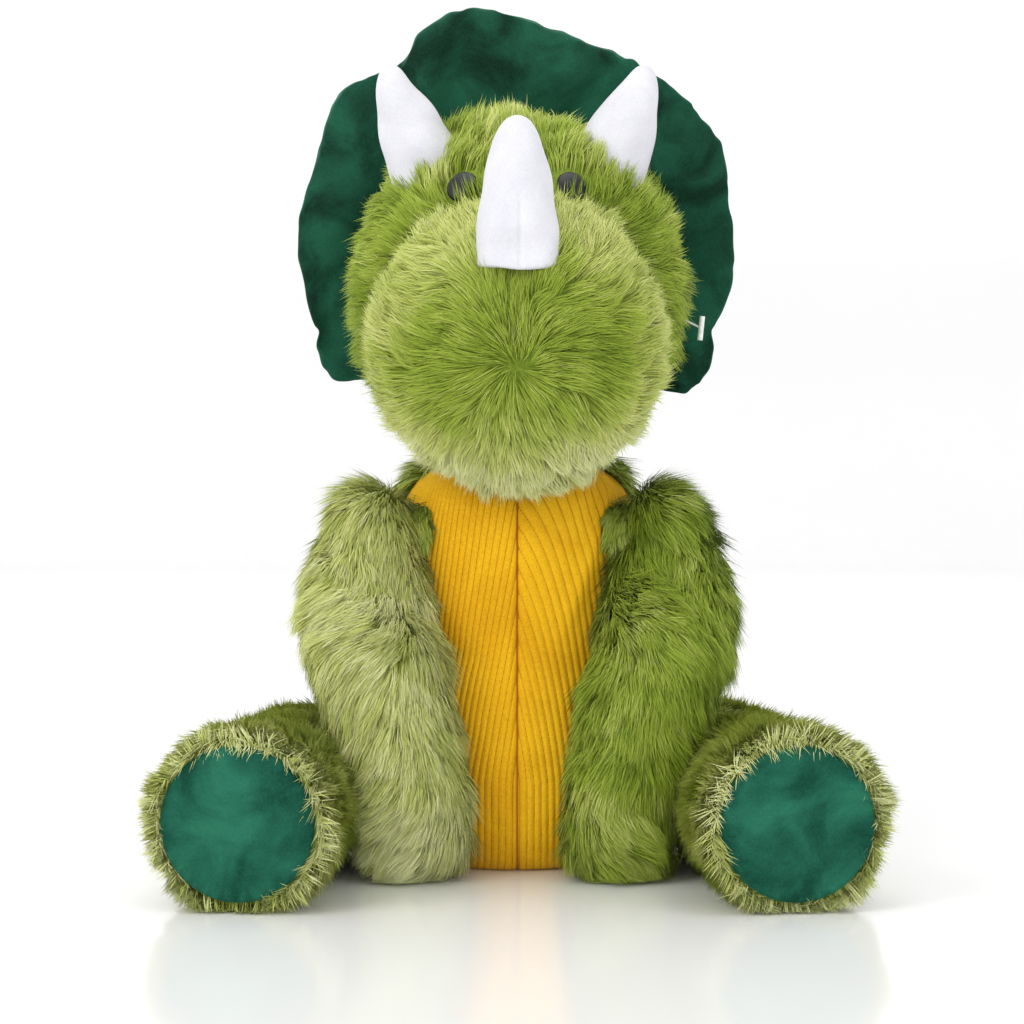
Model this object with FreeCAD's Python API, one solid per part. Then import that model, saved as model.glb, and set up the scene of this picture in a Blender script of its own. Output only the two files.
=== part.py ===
import FreeCAD, Part

# Seated three-horned dinosaur soft toy: sewn shells, stuffing and limbs that swing at their seams.
# Millimetres, +Z up, and the toy faces -Y. The origin is the centre of the flat seat.
# "left" is the -X side and "right" is the +X side. Every solid is written to parts/NODE.step.

import math
import os

from FreeCAD import Matrix, Rotation, Vector

# Fabrics
PILE_CLOTH = 3.0  # long-pile plush, backing and pressed pile together
CORD_CLOTH = 2.0  # ribbed belly cloth
VELOUR = 2.0  # short-pile cloth of the frill and soles
HORN_CLOTH = 1.5  # napped white cloth of the horns
GAP = 0.5  # between limbs and torso
SOCKET_GAP = 0.3  # between pieces that turn against each other
RUNNING_GAP = 0.06  # round a shoulder neck that turns in its pocket

# Torso: a pear turned about Z, with a flat seat
TORSO_HEIGHT = 131.0
HIP_RADIUS = 43.5
HIP_HEIGHT = 0.26 * TORSO_HEIGHT
CHEST_RADIUS = HIP_RADIUS - 1.5
CHEST_HEIGHT = 0.61 * TORSO_HEIGHT
COLLAR_RADIUS = HIP_RADIUS - 6.5
COLLAR_HEIGHT = TORSO_HEIGHT - 10.0
SEAT_RADIUS = HIP_RADIUS - 9.5
TORSO_TOP_RADIUS = 26.0
BELLY_HALF_ANGLE = 85.0  # the ribbed front reaches this far round from -Y

# Neck: a stuffed ball that the head nods on and that turns in the collar
NECK_RADIUS = 18.0
NECK_HEIGHT = TORSO_HEIGHT + 2.0

# Head: an egg about Z that rests on the middle of the neck, and a muzzle that is an egg about Y
HEAD_RADIUS = 52.0
HEAD_HALF_HEIGHT = 1.077 * HEAD_RADIUS
HEAD_HEIGHT = NECK_HEIGHT + HEAD_HALF_HEIGHT + 1.0
MUZZLE_RADIUS = 0.865 * HEAD_RADIUS
MUZZLE_HALF_LENGTH = 0.89 * MUZZLE_RADIUS
MUZZLE_FORWARD = 0.865 * HEAD_RADIUS
MUZZLE_HEIGHT = TORSO_HEIGHT - 2.0 + MUZZLE_RADIUS
CHIN_HALF_ANGLE = 60.0  # the chin panel spans this much each side of straight down
EYE_RADIUS = 5.5
EYE_SPREAD = 0.327 * HEAD_RADIUS
EYE_HEIGHT = MUZZLE_HEIGHT + MUZZLE_RADIUS + 4.0  # the eyes look out over the muzzle
EYE_DEPTH = 1.6

# Horns: blunt cones
HORN_BASE_RADIUS = 12.6
HORN_MID_RADIUS = 0.86 * HORN_BASE_RADIUS
HORN_TIP_RADIUS = 0.46 * HORN_BASE_RADIUS
NOSE_HORN_LENGTH = 48.0
NOSE_HORN_FORWARD = MUZZLE_FORWARD + 0.72 * MUZZLE_HALF_LENGTH
NOSE_HORN_ROOT = MUZZLE_HEIGHT + 0.56 * MUZZLE_RADIUS
BROW_HORN_LENGTH = 46.0
BROW_HORN_SPREAD = 0.5 * HEAD_RADIUS
BROW_HORN_FORWARD = 0.27 * HEAD_RADIUS
BROW_HORN_ROOT = HEAD_HEIGHT + 0.55 * HEAD_HALF_HEIGHT
BROW_HORN_LEAN = 22.0  # degrees outward

# Frill: a flat padded fan round the back of the head
FRILL_FRONT = 0.423 * HEAD_RADIUS  # the front face, behind the head's centre
FRILL_WADDING = 3.0
FRILL_HALF_WIDTH = HEAD_RADIUS + 22.0
FRILL_TOP = HEAD_HEIGHT + HEAD_HALF_HEIGHT + 37.0
FRILL_MIDDLE = HEAD_HEIGHT + 14.0
FRILL_FOOT = TORSO_HEIGHT + 20.0

# Arms: each station is a share of the torso's height, a share of the arm's radius and an angle from -Y
ARM_RADIUS = 18.6
SHOULDER_HEIGHT = TORSO_HEIGHT - 19.0
SHOULDER_RADIUS = 0.64 * ARM_RADIUS
SHOULDER_ANGLE = 64.0
ARM_STATIONS = ((0.74, 0.83, 59.5), (0.58, 1.0, 50.5), (0.397, 0.89, 42.5), (0.237, 0.77, 36.5))
HAND_RADIUS = 0.72 * ARM_RADIUS
HAND_HEIGHT = HAND_RADIUS + 0.8
HAND_ANGLE = 35.5
SHOULDER_NECK_RADIUS = 0.43 * ARM_RADIUS
SHOULDER_NECK_SINK = 4.0

# Legs: a ball at the hip, drawn out to a round sole
HIP_BALL_RADIUS = 24.0
HIP_BALL_HEIGHT = HIP_BALL_RADIUS + 0.7
HIP_BALL_FORWARD = 4.0
HIP_CLEARANCE = 3.0
LEG_LENGTH = 103.0
LEG_TAPER = 18.0  # degrees, where the leg leaves its hip ball
FOOT_RADIUS = 27.0
THIGH_RADIUS = HIP_BALL_RADIUS - 1.4
SHIN_RADIUS = (HIP_BALL_RADIUS + FOOT_RADIUS) / 2 - 1.2
SOLE_RADIUS = FOOT_RADIUS - 2.5
FOOT_OUT = 16.5  # the foot stands this much further out than the hip
FOOT_LIFT = 0.8
HIP_NECK_RADIUS = 11.0

# Tail: a ball at the root, drawn out to a blunt tip
TAIL_BALL_RADIUS = 20.0
TAIL_HEIGHT = TAIL_BALL_RADIUS + 3.0
TAIL_CLEARANCE = 2.0
TAIL_LENGTH = 46.0
TAIL_TIP_RADIUS = 0.35 * TAIL_BALL_RADIUS
TAIL_TAPER = 20.0  # degrees, where the tail leaves its root ball
TAIL_NECK_RADIUS = 11.0

# Swing-tag fastener of moulded nylon
TAG_FILAMENT_RADIUS = 0.35
TAG_BAR_RADIUS = 0.9
TAG_BAR_LENGTH = 8.0
TAG_HEIGHT = HEAD_HEIGHT - 7.0
TAG_REACH = 12.0

OUT = "parts"
AXIS_X, AXIS_Y, AXIS_Z = Vector(1, 0, 0), Vector(0, 1, 0), Vector(0, 0, 1)
ORIGIN = Vector(0, 0, 0)
SIDES = (("left", -1), ("right", 1))


def curve_through(points, first=None, last=None):
    """A smooth edge through points, with the directions at its ends if they are given."""
    curve = Part.BSplineCurve()
    if first is None:
        curve.interpolate(Points=points)
    else:
        curve.interpolate(Points=points, InitialTangent=first, FinalTangent=last)
    return curve.toShape()


def turned(edges):
    """The solid that the profile, in the XZ plane and closed along Z, sweeps about Z."""
    wire = Part.Wire(Part.__sortEdges__(edges))
    return Part.Face(wire).revolve(ORIGIN, AXIS_Z, 360.0)


def half_ellipse(radius, half_length):
    """The half ellipse in the XZ plane from its foot to its top on the Z axis, bulging to +X."""
    top, side = Vector(0, 0, half_length), Vector(radius, 0, 0)
    if half_length > radius:
        ellipse = Part.Ellipse(top, side, ORIGIN)
    else:
        ellipse = Part.Ellipse(side, top, ORIGIN)
    ends = sorted(ellipse.parameter(point) for point in (top, -top))
    if ellipse.value(sum(ends) / 2).x < 0:
        ends = [ends[1], ends[0] + 2 * math.pi]
    return ellipse.toShape(*ends)


def egg(half_sizes, centre):
    """A ball stretched to these half sizes along X, Y and Z."""
    stretch = Matrix()
    stretch.scale(half_sizes)
    solid = Part.makeSphere(1.0).transformGeometry(stretch)
    solid.translate(centre)
    return solid


def ball(radius, centre):
    return Part.makeSphere(radius, centre)


def rod(radius, start, end):
    return Part.makeCylinder(radius, (end - start).Length, start, end - start)


def torso_curve(cloth):
    """The torso's outline from its seat to its flat top, taken in by the thickness of cloth."""
    return curve_through(
        [
            Vector(SEAT_RADIUS - cloth, 0, cloth),
            Vector(HIP_RADIUS - cloth, 0, HIP_HEIGHT),
            Vector(CHEST_RADIUS - cloth, 0, CHEST_HEIGHT),
            Vector(COLLAR_RADIUS - cloth, 0, COLLAR_HEIGHT - cloth / 2),
            Vector(TORSO_TOP_RADIUS - cloth, 0, TORSO_HEIGHT - cloth),
        ],
        Vector(0.9, 0, 0.5),
        Vector(-1, 0, 0.35),
    )


def torso_solid(cloth):
    side = torso_curve(cloth)
    low, high = Vector(0, 0, cloth), Vector(0, 0, TORSO_HEIGHT - cloth)
    ends = [Part.makeLine(low, side.firstVertex().Point), Part.makeLine(side.lastVertex().Point, high)]
    return turned([side, Part.makeLine(high, low)] + ends)


def torso_radius(height):
    """The torso's radius at a height."""
    level = Part.makeLine(Vector(0, 0, height), Vector(2 * HIP_RADIUS, 0, height))
    return torso_curve(0.0).distToShape(level)[1][0][0].x


def beside_torso(height, radius, angle, side, gap=GAP):
    """The centre of a round limb section that lies against the torso."""
    reach = torso_radius(height) + radius + gap
    turn = math.radians(angle)
    return Vector(side * reach * math.sin(turn), -reach * math.cos(turn), height)


def sector(half_angle, facing):
    """A tall wedge about Z, half_angle each side of the direction `facing`, in degrees from +X."""
    reach, height = 3 * HIP_RADIUS, 2 * TORSO_HEIGHT
    wedge = Part.makeCylinder(reach, height, Vector(0, 0, -1), AXIS_Z, 2 * half_angle)
    wedge.rotate(ORIGIN, AXIS_Z, facing - half_angle)
    return wedge


def make_torso():
    """Ribbed front in two panels, plush back, seat and stuffing."""
    outer = torso_solid(0.0)
    front = outer.cut(torso_solid(CORD_CLOTH))
    back = outer.cut(torso_solid(PILE_CLOTH))
    seat_zone = Part.makeCylinder(SEAT_RADIUS, CORD_CLOTH)
    neck_room = ball(NECK_RADIUS + SOCKET_GAP, Vector(0, 0, NECK_HEIGHT))
    half_front = BELLY_HALF_ANGLE / 2
    nodes = {
        "belly_panel_left": front.common(sector(half_front, 270.0 - half_front)),
        "belly_panel_right": front.common(sector(half_front, 270.0 + half_front)),
        "back_panel": back.common(sector(180.0 - BELLY_HALF_ANGLE, 90.0)),
    }
    for name in nodes:
        nodes[name] = nodes[name].cut(seat_zone).cut(neck_room)
    nodes["seat_panel"] = seat_zone
    shell = list(nodes.values())
    nodes["torso_stuffing"] = outer.cut(shell).cut(neck_room)
    return nodes


def head_solid(cloth):
    radius = HEAD_RADIUS - cloth
    return egg(Vector(radius, radius, HEAD_HALF_HEIGHT - cloth), Vector(0, 0, HEAD_HEIGHT))


def muzzle_solid(cloth):
    radius = MUZZLE_RADIUS - cloth
    centre = Vector(0, -MUZZLE_FORWARD, MUZZLE_HEIGHT)
    return egg(Vector(radius, MUZZLE_HALF_LENGTH - cloth, radius), centre)


def muzzle_panel(start, sweep):
    """One cloth panel of the muzzle, from the angle start through sweep, in degrees from +X towards +Z."""
    outer, inner = (half_ellipse(MUZZLE_RADIUS - t, MUZZLE_HALF_LENGTH - t) for t in (0.0, PILE_CLOTH))
    top, low = (Vector(0, 0, MUZZLE_HALF_LENGTH), Vector(0, 0, -MUZZLE_HALF_LENGTH))
    inset = Vector(0, 0, PILE_CLOTH)
    wire = Part.Wire([outer, Part.makeLine(top, top - inset), inner, Part.makeLine(low + inset, low)])
    panel = Part.Face(wire).revolve(ORIGIN, AXIS_Z, sweep)
    panel.rotate(ORIGIN, AXIS_Z, start)
    panel.rotate(ORIGIN, AXIS_X, 90.0)
    panel.translate(Vector(0, -MUZZLE_FORWARD, MUZZLE_HEIGHT))
    return panel


def eye_solid(side):
    """A stitched disc set into the head along the head's own normal."""
    across, up = EYE_SPREAD / HEAD_RADIUS, (EYE_HEIGHT - HEAD_HEIGHT) / HEAD_HALF_HEIGHT
    forward = math.sqrt(1.0 - across**2 - up**2)
    centre = Vector(side * EYE_SPREAD, -forward * HEAD_RADIUS, EYE_HEIGHT)
    normal = Vector(side * across / HEAD_RADIUS, -forward / HEAD_RADIUS, up / HEAD_HALF_HEIGHT)
    normal.normalize()
    return rod(EYE_RADIUS, centre - normal * EYE_DEPTH, centre + normal * EYE_DEPTH)


def make_head():
    """Head shell, three-panel muzzle, eyes and the stuffing that fills them."""
    head, muzzle = head_solid(0.0), muzzle_solid(0.0)
    head_fill, muzzle_fill = head_solid(PILE_CLOTH), muzzle_solid(PILE_CLOTH)
    neck_room = ball(NECK_RADIUS + SOCKET_GAP, Vector(0, 0, NECK_HEIGHT))
    eyes = {f"{name}_eye": eye_solid(side).cut(muzzle) for name, side in SIDES}
    cheek = 180.0 - CHIN_HALF_ANGLE
    left_panel = muzzle_panel(90.0, cheek).cut(head)
    nodes = {
        "head_fur": head.cut([head_fill, muzzle_fill, neck_room]).cut(list(eyes.values())),
        "head_stuffing": head_fill.cut(neck_room),
        "muzzle_stuffing": muzzle_fill.cut(head_fill),
        "muzzle_left": left_panel,
        "muzzle_right": left_panel.mirror(ORIGIN, AXIS_X),
        "chin": muzzle_panel(90.0 + cheek, 2 * CHIN_HALF_ANGLE).cut([head, neck_room]),
    }
    nodes.update(eyes)
    return nodes


def horn_solid(length, cloth, root, lean):
    """A blunt cone that stands on root and leans outward by `lean` degrees about Y."""
    tip = length - cloth
    side = curve_through(
        [
            Vector(HORN_BASE_RADIUS - cloth, 0, 0),
            Vector(HORN_MID_RADIUS - cloth, 0, 0.5 * length),
            Vector(HORN_TIP_RADIUS - cloth, 0, 0.9 * length - cloth / 2),
            Vector(0, 0, tip),
        ],
        Vector(0, 0, 1),
        Vector(-1, 0, 0),
    )
    foot = Part.makeLine(ORIGIN, side.firstVertex().Point)
    horn = turned([foot, side, Part.makeLine(Vector(0, 0, tip), ORIGIN)])
    horn.Placement = FreeCAD.Placement(root, Rotation(AXIS_Y, lean))
    return horn


def make_horn(name, length, root, lean, base):
    """Cloth and stuffing of one horn, cut off where it meets the base that it is sewn to."""
    outer, inner = horn_solid(length, 0.0, root, lean), horn_solid(length, HORN_CLOTH, root, lean)
    return {name: outer.cut(inner).cut(base), f"{name}_stuffing": inner.cut(base)}


def make_horns():
    base = head_solid(0.0).fuse(muzzle_solid(0.0))
    root = Vector(0, -NOSE_HORN_FORWARD, NOSE_HORN_ROOT)
    nodes = make_horn("nose_horn", NOSE_HORN_LENGTH, root, 0.0, base)
    for name, side in SIDES:
        root = Vector(side * BROW_HORN_SPREAD, -BROW_HORN_FORWARD, BROW_HORN_ROOT)
        nodes.update(make_horn(f"{name}_brow_horn", BROW_HORN_LENGTH, root, side * BROW_HORN_LEAN, base))
    return nodes


def frill_outline():
    """The fan's edge: rounded lobes from foot to foot over the top, closed by a chord."""
    rise = FRILL_TOP - FRILL_MIDDLE
    fall = FRILL_MIDDLE - FRILL_FOOT
    half = [
        Vector(0.52 * FRILL_HALF_WIDTH, 0, FRILL_FOOT),
        Vector(0.82 * FRILL_HALF_WIDTH, 0, FRILL_FOOT + 0.14 * fall),
        Vector(FRILL_HALF_WIDTH, 0, FRILL_MIDDLE),
        Vector(0.90 * FRILL_HALF_WIDTH, 0, FRILL_MIDDLE + 0.54 * rise),
        Vector(0.50 * FRILL_HALF_WIDTH, 0, FRILL_MIDDLE + 0.82 * rise),
        Vector(0.20 * FRILL_HALF_WIDTH, 0, FRILL_TOP),
    ]
    mirrored = [Vector(-p.x, 0, p.z) for p in reversed(half)]
    edge = curve_through(half + mirrored)
    return Part.Wire([edge, Part.makeLine(mirrored[-1], half[0])])


def make_frill():
    """Two cloths with wadding between them, all fitted round the head."""
    head = head_solid(0.0)
    layers = (("frill_front", VELOUR), ("frill_wadding", FRILL_WADDING), ("frill_back", VELOUR))
    nodes, depth = {}, FRILL_FRONT
    for name, thickness in layers:
        sheet = Part.Face(frill_outline()).extrude(Vector(0, thickness, 0))
        sheet.translate(Vector(0, depth, 0))
        nodes[name] = sheet.cut(head)
        depth += thickness
    return nodes


def make_tag():
    """Nylon filament with a cross bar, from the seam between the cheek and the frill."""
    up = (TAG_HEIGHT - HEAD_HEIGHT) / HEAD_HALF_HEIGHT
    start = Vector(HEAD_RADIUS * math.sqrt(1 - up**2), 0, TAG_HEIGHT)
    end = start + Vector(0.8, -0.35, -0.5).normalize() * TAG_REACH
    half_bar = Vector(0.1, 0, 1).normalize() * (TAG_BAR_LENGTH / 2)
    filament = rod(TAG_FILAMENT_RADIUS, start - Vector(HEAD_RADIUS / 20, 0, 0), end)
    bar = rod(TAG_BAR_RADIUS, end - half_bar, end + half_bar)
    return {"tag_fastener": filament.fuse(bar).cut(head_solid(0.0))}


def arm_path(side):
    """Centres and radii of the arm's sections, shoulder first."""
    stations = [(SHOULDER_HEIGHT, SHOULDER_RADIUS, SHOULDER_ANGLE)]
    stations += [(high * TORSO_HEIGHT, wide * ARM_RADIUS, angle) for high, wide, angle in ARM_STATIONS]
    stations.append((HAND_HEIGHT, HAND_RADIUS, HAND_ANGLE))
    return [(beside_torso(height, radius, angle, side), radius) for height, radius, angle in stations]


def arm_solid(side, cloth):
    """Level round sections joined smoothly, with half a ball at the shoulder and half at the hand."""
    path = arm_path(side)
    rings = [Part.Wire(Part.Circle(centre, AXIS_Z, radius - cloth).toShape()) for centre, radius in path]
    limb = Part.makeLoft(rings, True)
    (top, top_radius), (foot, foot_radius) = path[0], path[-1]
    shoulder = Part.makeSphere(top_radius - cloth, top, AXIS_Z, 0, 90, 360)
    hand = Part.makeSphere(foot_radius - cloth, foot, AXIS_Z, -90, 0, 360)
    return limb.fuse([shoulder, hand])


def make_arm(name, side):
    """Plush, stuffing and the gathered neck by which the arm is sewn to the torso."""
    shoulder = arm_path(side)[0][0]
    inward = Vector(-side, 0, 0)
    mouth = shoulder + inward * (SHOULDER_RADIUS - SHOULDER_NECK_SINK)
    neck = rod(SHOULDER_NECK_RADIUS, mouth, mouth + inward * SHOULDER_RADIUS)
    room = SHOULDER_NECK_RADIUS + RUNNING_GAP
    pocket = rod(room, mouth - inward * SOCKET_GAP, mouth + inward * SHOULDER_RADIUS)
    outer, inner = arm_solid(side, 0.0), arm_solid(side, PILE_CLOTH)
    return {
        f"{name}_arm_fur": outer.cut(inner).cut(pocket),
        f"{name}_arm_stuffing": inner.cut(pocket),
        f"{name}_shoulder_seam": neck.cut(torso_solid(0.0)),
    }


def limb_profile(ball_radius, taper, stations, cloth):
    """Half outline of a limb about Z: a ball at the origin drawn out through stations of (radius, height).

    The limb leaves the ball narrowing by `taper` degrees. The last station is the rim of a flat end.
    """
    radius = ball_radius - cloth
    leave = math.radians(taper)
    shoulder = Vector(radius * math.cos(leave), 0, radius * math.sin(leave))
    low = Vector(0, 0, -radius)
    quarter = radius * math.sqrt(0.5)
    arc = Part.Arc(low, Vector(quarter, 0, -quarter), shoulder).toShape()
    points = [shoulder] + [Vector(r - cloth, 0, h) for r, h in stations[:-1]]
    rim, end = stations[-1]
    points.append(Vector(rim - cloth, 0, end - cloth))
    leaving = Vector(-math.sin(leave), 0, math.cos(leave))
    side = curve_through(points, leaving, Vector(-1, 0, 1))
    top = Vector(0, 0, end - cloth)
    return [arc, side, Part.makeLine(points[-1], top), Part.makeLine(top, low)]


def placed_along(solid, start, end):
    """The solid, built about Z at the origin, moved so that Z runs from start to end."""
    solid.Placement = FreeCAD.Placement(start, Rotation(AXIS_Z, end - start))
    return solid


def leg_ends(side):
    """Centre of the hip ball and centre of the sole."""
    out = HIP_RADIUS + HIP_BALL_RADIUS + HIP_CLEARANCE
    across = math.sqrt(out**2 - HIP_BALL_FORWARD**2)
    hip = Vector(side * across, -HIP_BALL_FORWARD, HIP_BALL_HEIGHT)
    drop = HIP_BALL_HEIGHT - FOOT_RADIUS - FOOT_LIFT
    forward = math.sqrt(LEG_LENGTH**2 - FOOT_OUT**2 - drop**2)
    return hip, hip + Vector(side * FOOT_OUT, -forward, -drop)


def leg_solid(cloth):
    stations = (
        (THIGH_RADIUS, 0.27 * LEG_LENGTH),
        (SHIN_RADIUS, 0.58 * LEG_LENGTH),
        (FOOT_RADIUS, 0.86 * LEG_LENGTH),
        (SOLE_RADIUS, LEG_LENGTH),
    )
    return turned(limb_profile(HIP_BALL_RADIUS, LEG_TAPER, stations, cloth))


def make_leg(name, side):
    """Plush, stuffing, round sole and the neck by which the leg is sewn to the torso."""
    hip, foot = leg_ends(side)
    sole = Part.makeCylinder(SOLE_RADIUS, VELOUR + PILE_CLOTH, Vector(0, 0, LEG_LENGTH - PILE_CLOTH))
    sole = placed_along(sole.makeFillet(0.6 * VELOUR, sole.Edges[0]), hip, foot)
    outer, inner = (placed_along(leg_solid(cloth), hip, foot) for cloth in (0.0, PILE_CLOTH))
    neck = rod(HIP_NECK_RADIUS, Vector(0, 0, HIP_BALL_HEIGHT), hip)
    room = ball(HIP_BALL_RADIUS + SOCKET_GAP, hip)
    return {
        f"{name}_leg_fur": outer.cut(inner).cut(sole),
        f"{name}_leg_stuffing": inner.cut(sole),
        f"{name}_sole": sole,
        f"{name}_hip_seam": neck.cut([torso_solid(0.0), room]),
    }


def tail_root():
    reach = HIP_RADIUS + TAIL_BALL_RADIUS + TAIL_CLEARANCE
    return Vector(0, reach, TAIL_HEIGHT)


def tail_solid(cloth):
    stations = ((0.62 * TAIL_BALL_RADIUS, 0.62 * TAIL_LENGTH), (TAIL_TIP_RADIUS, TAIL_LENGTH))
    return turned(limb_profile(TAIL_BALL_RADIUS, TAIL_TAPER, stations, cloth))


def make_tail():
    """Plush, stuffing and the neck by which the tail is sewn to the torso."""
    root = tail_root()
    tip = root + Vector(0, TAIL_LENGTH, -0.25 * TAIL_LENGTH)
    outer, inner = (placed_along(tail_solid(cloth), root, tip) for cloth in (0.0, PILE_CLOTH))
    neck = rod(TAIL_NECK_RADIUS, Vector(0, 0, TAIL_HEIGHT), root)
    room = ball(TAIL_BALL_RADIUS + SOCKET_GAP, root)
    return {
        "tail_fur": outer.cut(inner),
        "tail_stuffing": inner,
        "tail_seam": neck.cut([torso_solid(0.0), room]),
    }


def main():
    os.makedirs(OUT, exist_ok=True)
    nodes = {}
    nodes.update(make_torso())
    nodes["neck_plug"] = ball(NECK_RADIUS, Vector(0, 0, NECK_HEIGHT))
    nodes.update(make_head())
    nodes.update(make_horns())
    nodes.update(make_frill())
    nodes.update(make_tag())
    for name, side in SIDES:
        nodes.update(make_arm(name, side))
        nodes.update(make_leg(name, side))
    nodes.update(make_tail())
    for name, shape in nodes.items():
        solids = shape.Solids
        whole = solids[0] if len(solids) == 1 else Part.makeCompound(solids)
        whole.exportStep(os.path.join(OUT, f"{name}.step"))
        print(f"{name}: {len(solids)} solid(s), {whole.Volume / 1000:.2f} cm3, valid {whole.isValid()}")


main()
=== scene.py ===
import math

import bpy
import numpy as np
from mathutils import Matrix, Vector, kdtree
from mathutils.bvhtree import BVHTree


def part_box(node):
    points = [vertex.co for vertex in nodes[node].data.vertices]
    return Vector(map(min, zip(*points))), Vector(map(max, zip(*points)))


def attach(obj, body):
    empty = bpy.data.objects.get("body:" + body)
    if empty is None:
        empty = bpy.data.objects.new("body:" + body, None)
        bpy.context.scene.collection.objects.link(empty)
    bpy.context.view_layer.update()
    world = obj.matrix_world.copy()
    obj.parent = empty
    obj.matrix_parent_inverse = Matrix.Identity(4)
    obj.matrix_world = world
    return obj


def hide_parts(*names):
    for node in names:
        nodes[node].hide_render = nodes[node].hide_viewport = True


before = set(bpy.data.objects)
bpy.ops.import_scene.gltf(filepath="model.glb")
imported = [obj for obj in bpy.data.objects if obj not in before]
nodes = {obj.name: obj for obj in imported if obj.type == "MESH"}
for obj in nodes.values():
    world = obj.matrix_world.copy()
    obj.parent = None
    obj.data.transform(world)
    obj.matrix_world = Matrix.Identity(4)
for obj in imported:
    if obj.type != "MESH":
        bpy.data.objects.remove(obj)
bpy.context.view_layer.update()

mm = 0.001


def unit(v):
    return v / np.maximum(np.linalg.norm(v, axis=-1, keepdims=True), 1e-9)


def ease(x, low, high):
    # 0 below low, 1 above high, smooth between
    t = np.clip((x - low) / (high - low), 0.0, 1.0)
    return t * t * (3.0 - 2.0 * t)


def ripple(points, size, seed, waves=7):
    # smooth random field of about -1 to 1, whose lumps are about size across
    rng = np.random.default_rng(seed)
    total = np.zeros(len(points))
    for _ in range(waves):
        along = unit(rng.normal(size=3)) * rng.uniform(0.6, 1.4) / size
        total += np.sin(2 * math.pi * (points @ along) + rng.uniform(0, 2 * math.pi))
    return total / math.sqrt(waves)


def axisOf(near, far):
    return unit(np.array(far) - np.array(near))


def coords(mesh):
    co = np.zeros(len(mesh.vertices) * 3)
    mesh.vertices.foreach_get("co", co)
    return co.reshape(-1, 3)


def vertexNormals(mesh):
    n = np.zeros(len(mesh.vertices) * 3)
    mesh.vertex_normals.foreach_get("vector", n)
    return n.reshape(-1, 3)


def triangles(mesh):
    mesh.calc_loop_triangles()
    tri = np.zeros(len(mesh.loop_triangles) * 3, int)
    mesh.loop_triangles.foreach_get("vertices", tri)
    return tri.reshape(-1, 3)


def setCoords(mesh, co):
    mesh.vertices.foreach_set("co", co.ravel())
    mesh.update()


def addObject(name, mesh, smooth=True):
    piece = bpy.data.objects.new(name, mesh)
    bpy.context.collection.objects.link(piece)
    if smooth:
        mesh.polygons.foreach_set("use_smooth", [True] * len(mesh.polygons))
    return piece


def bake(piece):
    # what the modifiers make becomes the mesh
    graph = bpy.context.evaluated_depsgraph_get()
    made = bpy.data.meshes.new_from_object(piece.evaluated_get(graph))
    piece.modifiers.clear()
    old = piece.data
    piece.data = made
    bpy.data.meshes.remove(old)
    made.name = piece.name
    made.polygons.foreach_set("use_smooth", [True] * len(made.polygons))
    return piece


def skinOf(name, parts, voxel, smoothing=4, finer=0):
    # one closed skin round some CAD solids, in even small faces
    co, faces, count = [], [], 0
    for part in parts:
        mesh = nodes[part].data
        co.append(coords(mesh))
        faces.append(triangles(mesh) + count)
        count += len(co[-1])
    mesh = bpy.data.meshes.new(name)
    mesh.from_pydata(np.vstack(co).tolist(), [], np.vstack(faces).tolist())
    piece = addObject(name, mesh)
    even = piece.modifiers.new("even", "REMESH")
    even.mode, even.voxel_size = "VOXEL", voxel * mm
    soft = piece.modifiers.new("soft", "SMOOTH")
    soft.factor, soft.iterations = 0.5, smoothing
    if finer:
        fine = piece.modifiers.new("fine", "SUBSURF")
        fine.levels = fine.render_levels = finer
    return bake(piece)


def reshape(piece, change):
    # change(points, normals) gives the new points
    mesh = piece.data
    setCoords(mesh, change(coords(mesh), vertexNormals(mesh)))


def gridMesh(name, points, closeU=False):
    # points is rows x columns x 3
    rows, columns = points.shape[:2]
    index = np.arange(rows * columns).reshape(rows, columns)
    right = np.roll(index, -1, axis=1)
    last = columns if closeU else columns - 1
    a, b = index[:-1, :last], right[:-1, :last]
    c, d = right[1:, :last], index[1:, :last]
    faces = np.stack([a, b, c, d], axis=-1).reshape(-1, 4)
    mesh = bpy.data.meshes.new(name)
    mesh.from_pydata(points.reshape(-1, 3).tolist(), [], faces.tolist())
    return mesh


def widest(node):
    # the point of a node that is furthest back, which lies level with its middle
    co = coords(nodes[node].data)
    return co[co[:, 1].argmax()]


def finishPiece(piece, body, material, replaced=()):
    piece.data.materials.clear()
    piece.data.materials.append(material)
    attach(piece, body)
    if replaced:
        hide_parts(*replaced)


def newMaterial(name):
    material = bpy.data.materials.new(name)
    material.use_nodes = True
    tree = material.node_tree
    tree.nodes.clear()
    out = tree.nodes.new("ShaderNodeOutputMaterial")
    shader = tree.nodes.new("ShaderNodeBsdfPrincipled")
    tree.links.new(shader.outputs["BSDF"], out.inputs["Surface"])
    return material, tree, shader


def addNode(tree, kind, inputs=None, **settings):
    node = tree.nodes.new(kind)
    for key, value in settings.items():
        setattr(node, key, value)
    for key, value in (inputs or {}).items():
        if isinstance(value, bpy.types.NodeSocket):
            tree.links.new(value, node.inputs[key])
        else:
            node.inputs[key].default_value = value
    return node


def addRamp(tree, factor, stops):
    ramp = addNode(tree, "ShaderNodeValToRGB", {"Fac": factor})
    ramp.color_ramp.interpolation = "EASE"
    points = ramp.color_ramp.elements
    while len(points) < len(stops):
        points.new(0.5)
    for point, (place, colour) in zip(points, stops):
        point.position = place
        point.color = colour
    return ramp.outputs["Color"]


def tint(red, green, blue):
    # colour from 0 to 255 as seen, to the linear values that shaders use
    return tuple(((v / 255 + 0.055) / 1.055) ** 2.4 for v in (red, green, blue)) + (1.0,)


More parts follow.
